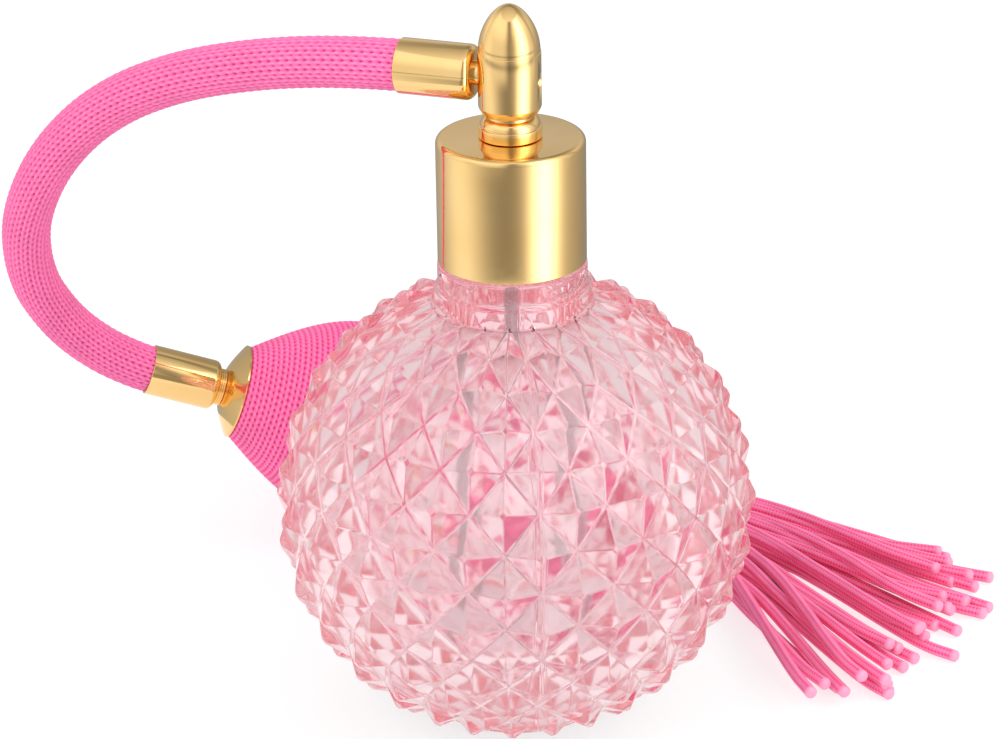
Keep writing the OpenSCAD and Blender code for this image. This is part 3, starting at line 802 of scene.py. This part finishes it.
def make_bulb_fittings():
    """The two ferrules, the ringed barb into the bulb and the cap over the bulb's front."""
    fitting("ferrule_head_plated", ferrule_outline(), "hose_ferrule_head", "head",
            INLET @ Matrix.Translation((0, 0, FERRULE_START)))
    mirrored = [(r, -FERRULE_END - z) for r, z in ferrule_outline()]
    fitting("ferrule_bulb_plated", mirrored, "hose_ferrule_bulb", "head", BULB)
    rings = [p for i in range(3)
             for p in arc((3.02, -FERRULE_END + 0.38 * (i + 0.5)), 0.18, -80, 80, 6)]
    shank = [(0.9, -13), (1.5, -13), (1.9, -12), (1.9, -FERRULE_END)]
    barb = [*shank, *rings, (2.5, -CAP_DEPTH), (2.5, 1.6), (3.9, 1.6), (3.9, 8), (3, 8), (3, 6),
            (2.6, 6), (2.6, 3.5), (0.9, 3.5)]
    fitting("bulb_barb_plated", barb, "bulb_barb", "head", BULB, 96)
    steps = np.linspace(0, 1, 25)
    dome = [(3.3 + (CAP_R - 3.3) * u, -CAP_DEPTH + (CAP_DEPTH - 0.35) * u**1.25) for u in steps]
    under = [(max(r - 0.5, 2.5), min(z + 0.5, 0)) for r, z in dome[::-1]]
    cap = [(2.5, -CAP_DEPTH), *dome, (CAP_R, -0.1), (CAP_R - 0.1, 0), *under, (2.5, -CAP_DEPTH + 0.5)]
    fitting("bulb_cap_plated", cap, "bulb_cap", "head", BULB, 192)


make_collar()
make_pedestal()
make_head()
make_bulb_fittings()

# ---- Squeeze bulb ----


def bulb_radius(z):
    """Radius of the cover's outside at z from the cap."""
    if z < BULB_WIDEST:
        return BULB_FRONT_R + (BULB_R - BULB_FRONT_R) * math.sin(math.pi / 2 * z / BULB_WIDEST)
    past, behind = z - BULB_WIDEST, BULB_H - BULB_WIDEST
    return BULB_TAIL_R + (BULB_R - BULB_TAIL_R) * math.cos(math.pi / 2 * past / behind)


def squeezed(ob, node):
    """Hides the CAD node, puts the piece on the head's body and gives it a mesh of its own."""
    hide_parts(node)
    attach(ob, "head")
    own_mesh(ob)


def make_bulb():
    """The knitted cover: rounds of stitches, as many in each round as its girth takes."""
    round_len, stitch_len, per_round, columns, depth, wall = 1.9, 1.2, 6, 480, 0.55, 1.2
    z = np.linspace(0.1, BULB_H, 800)
    r = np.array([bulb_radius(v) for v in z])
    run = np.r_[0, np.cumsum(np.hypot(np.diff(z), np.diff(r)))]
    rounds = round(run[-1] / round_len)
    rows = rounds * per_round
    even = np.linspace(0, run[-1], rows + 1)
    z, r = np.interp(even, run, z), np.interp(even, run, r)
    slope = np.gradient(z) / np.hypot(np.gradient(z), np.gradient(r))
    relief = np.zeros((rows + 1, columns))
    place = np.arange(columns) / columns
    rng = np.random.default_rng(11)
    for row in range(rows + 1):
        number, within = divmod(row / per_round, 1)
        middle = np.interp((number + 0.5) / rounds, even / run[-1], r)
        stitches_round = round(2 * math.pi * middle / stitch_len)
        relief[row] = knit(within, place * stitches_round + 0.5 * (number % 2))
    relief += rng.normal(0, 0.012, relief.shape)
    relief = np.clip(relief, 0, 1)
    edge = np.minimum(ease(even, 0, 0.8), ease(run[-1] - even, 0, 0.8))[:, None]
    sink = depth * (1 - relief) * edge
    a = 2 * math.pi * place[None, :]
    out_r = r[:, None] - sink * slope[:, None]
    out_z = np.repeat(z[:, None], columns, 1)
    outer = np.stack([out_r * np.cos(a), out_r * np.sin(a), out_z], -1).reshape(-1, 3)
    inner_rows = 12
    inner_z = np.interp(np.linspace(run[-1], 0, inner_rows), even, z)
    inner_r = np.interp(np.linspace(run[-1], 0, inner_rows), even, r) - wall
    inner = np.stack([inner_r[:, None] * np.cos(a), inner_r[:, None] * np.sin(a),
                      np.repeat(inner_z[:, None], columns, 1)], -1).reshape(-1, 3)
    total = rows + 1 + inner_rows
    faces = grid_faces(total, columns)
    last = (total - 1) * columns
    around = np.arange(columns)
    right = (around + 1) % columns
    closing = np.stack([last + around, last + right, right, around], 1)
    verts, faces = np.vstack([outer, inner]), np.vstack([faces, closing])
    cover = new_object("bulb_cover_knit", verts, faces, BULB)
    paint(cover, "relief", np.r_[relief.ravel(), np.zeros(inner_rows * columns)])
    cover.data.materials.append(BULB_YARN)
    squeezed(cover, "bulb_cover")


def make_bladder():
    """The rubber bladder inside the cover."""
    inset, wall, front, tail = 1.3, 1.5, 0.3, 47
    outer = [(bulb_radius(z) - inset, z) for z in np.linspace(front, tail, 40)]
    inner = [(bulb_radius(z) - inset - wall, z) for z in np.linspace(tail - wall, front + 1.3, 40)]
    outline = [(2.5, front), *outer, (3.35, tail), (3.35, tail - wall), *inner, (2.5, front + 1.3)]
    ob = lathe("bladder_rubber", outline, BULB, 96)
    ob.data.materials.append(RUBBER)
    squeezed(ob, "bulb_bladder")


def make_binding():
    """Thread wound round the gathered cords."""
    turns, start, length, outer, inner = 12, BULB_H + 1, 6.0, 4.5, 3.1
    pitch = length / turns
    wraps = [p for i in range(turns)
             for p in arc((outer - pitch / 2, start + (i + 0.5) * pitch), pitch / 2, -80, 80, 6)]
    outline = [(inner, start), *wraps, (inner, start + length)]
    ob = lathe("tassel_binding_thread", outline, BULB, 96, sharp_deg=60)
    paint(ob, "relief", np.full(len(ob.data.vertices), 0.6))
    ob.data.materials.append(THREAD)
    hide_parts("tassel_binding")
    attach(ob, "tail")


make_bulb()
make_bladder()
make_binding()

# ---- Materials of the CAD nodes that stay ----

INNER = {
    "neck_gasket": RUBBER, "swivel_seal": RUBBER, "hose_core": RUBBER,
    "outlet_valve_disc": RUBBER, "intake_valve_disc": RUBBER, "stem_plug": WHITE,
    "dip_tube": CLEAR, "jet_tube": WHITE, "collar_liner": WHITE,
    "outlet_valve_seat": WHITE, "intake_valve_body": WHITE, "intake_valve_cage": WHITE,
}
for node_name, material in INNER.items():
    mesh_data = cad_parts[node_name].data
    mesh_data.materials.clear()
    mesh_data.materials.append(material)

# ---- Floor and light ----


def make_floor():
    """A large pale table top."""
    size = 3.0
    mesh = bpy.data.meshes.new("floor")
    corners = [(-size, -size, 0), (size, -size, 0), (size, size, 0), (-size, size, 0)]
    mesh.from_pydata(corners, [], [(0, 1, 2, 3)])
    floor = bpy.data.objects.new("floor", mesh)
    bpy.context.scene.collection.objects.link(floor)
    mat, tree, shader = tree_of("floor")
    tint = ramp(tree, noise(tree, 6.0), [(0.3, 0.34), (0.7, 0.36)])
    tree.links.new(tint, shader.inputs["Base Color"])
    shader.inputs["Roughness"].default_value = 0.9
    shader.inputs["Specular IOR Level"].default_value = 0.1
    shader.inputs["Emission Color"].default_value = (1, 1, 1, 1)
    shader.inputs["Emission Strength"].default_value = 0.7
    mesh.materials.append(mat)


def make_world():
    """An even white room."""
    world = bpy.data.worlds.new("room")
    world.use_nodes = True
    world.node_tree.nodes["Background"].inputs["Color"].default_value = (1, 1, 1, 1)
    world.node_tree.nodes["Background"].inputs["Strength"].default_value = 0.88
    bpy.context.scene.world = world


TENT_R = 0.125
TENT_H = 0.3


def bell(x, centre, width):
    """A smooth hump of height 1."""
    return math.exp(-((x - centre) / width) ** 2 / 2)


def wall_light(angle, z):
    """Brightness of the tent's wall: angle from the front towards +X in degrees, z in metres."""
    left = 0.8 * bell(angle, -77, 28)
    right = 2.6 * bell(angle, 50, 15)
    right_wide = 0.5 * bell(angle, 60, 35)
    back = (0.12 if angle > 0 else 0.25) * bell(abs(angle), 125, 40)
    low = 0.2 + left + right + right_wide + back
    if abs(angle) > 110:
        return low + 0.35 * bell(z, 0.15, 0.03)
    edge = float(1 - ease(abs(angle), 80, 110))
    high = max(low, (0.95 + 0.35 * float(ease(z, 0.12, 0.2))) * (1 - 0.75 * bell(angle, 3, 10)))
    level = low + (high - low) * float(ease(z, 0.05, 0.078)) * edge
    return level * (1 - 0.65 * edge * bell(z, 0.083, 0.0022))


def make_tent():
    """A light tent that only reflections see: two soft boxes, a dark gap in front and a grey back."""
    columns, rows = 96, 120
    verts, bright = [], []
    for j in range(rows + 1):
        z = TENT_H * j / rows
        for i in range(columns):
            angle = 360 * i / columns - 180
            a = math.radians(angle)
            verts.append((TENT_R * math.sin(a), -TENT_R * math.cos(a), 0.001 + z))
            bright.append(wall_light(angle, z))
    faces = grid_faces(rows + 1, columns).tolist()
    roof = len(verts)
    last = rows * columns
    verts.append((0, 0, TENT_H))
    bright.append(0.75)
    faces += [[last + i, last + (i + 1) % columns, roof] for i in range(columns)]
    for i in range(columns):
        bright[last + i] = 0.8 + 0.35 * math.cos(math.radians(360 * i / columns - 180))
    mesh = bpy.data.meshes.new("tent")
    mesh.from_pydata(verts, [], faces)
    tent = bpy.data.objects.new("tent", mesh)
    bpy.context.scene.collection.objects.link(tent)
    paint(tent, "bright", bright)
    mat = bpy.data.materials.new("tent")
    mat.use_nodes = True
    tree = mat.node_tree
    tree.nodes.clear()
    glow = tree.nodes.new("ShaderNodeEmission")
    level = add(tree, "ShaderNodeAttribute", attribute_name="bright")
    tree.links.new(level.outputs["Fac"], glow.inputs["Strength"])
    out = tree.nodes.new("ShaderNodeOutputMaterial")
    tree.links.new(glow.outputs[0], out.inputs["Surface"])
    mat.cycles.emission_sampling = "NONE"
    mesh.materials.append(mat)
    tent.visible_camera = False
    tent.visible_diffuse = False
    tent.visible_shadow = False
    tent.visible_transmission = False


def make_lamp(name, place, aim, size, watts):
    """A square soft box at a place, aimed at a point."""
    data = bpy.data.lights.new(name, "AREA")
    data.size = size
    data.energy = watts
    lamp = bpy.data.objects.new(name, data)
    lamp.location = place
    lamp.rotation_mode = "QUATERNION"
    lamp.rotation_quaternion = (Vector(aim) - Vector(place)).to_track_quat("-Z", "Y")
    lamp.visible_glossy = False
    bpy.context.scene.collection.objects.link(lamp)


make_floor()
make_world()
make_tent()
make_lamp("key", (-0.5, -0.6, 0.8), (0, 0, 0.05), 0.5, 3.4)
make_lamp("fill", (0.7, -0.3, 0.6), (0, 0, 0.05), 0.6, 3.5)
bpy.context.scene.view_settings.view_transform = "Standard"
# Light crosses many facets before it leaves the glass
GLASS_BOUNCES = 24
bpy.context.scene.cycles.max_bounces = GLASS_BOUNCES
bpy.context.scene.cycles.glossy_bounces = GLASS_BOUNCES
bpy.context.scene.cycles.transmission_bounces = GLASS_BOUNCES
